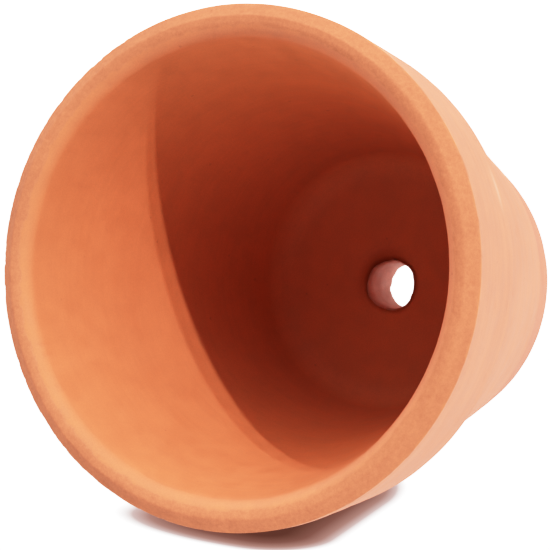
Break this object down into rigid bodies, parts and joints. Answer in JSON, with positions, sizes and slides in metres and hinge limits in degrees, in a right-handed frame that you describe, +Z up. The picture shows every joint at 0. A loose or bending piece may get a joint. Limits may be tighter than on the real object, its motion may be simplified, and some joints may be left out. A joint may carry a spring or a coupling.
{
  "type": "terracotta pot",
  "caption": "Tapered round flower pot of unglazed fired clay, with a thick collar around its open mouth and a drain hole through its floor.",
  "frame": {"origin": "centre of the flat underside of the base", "axes": "+Z up along the pot's axis, from the base to the mouth; the pot is round, so +X and +Y are any two level directions"},
  "size_m": [0.11, 0.11, 0.1],
  "materials": {
    "terracotta": "matte unglazed fired clay"
  },
  "bodies": {
    "root": {"pot": "terracotta"}
  },
  "joints": []
}
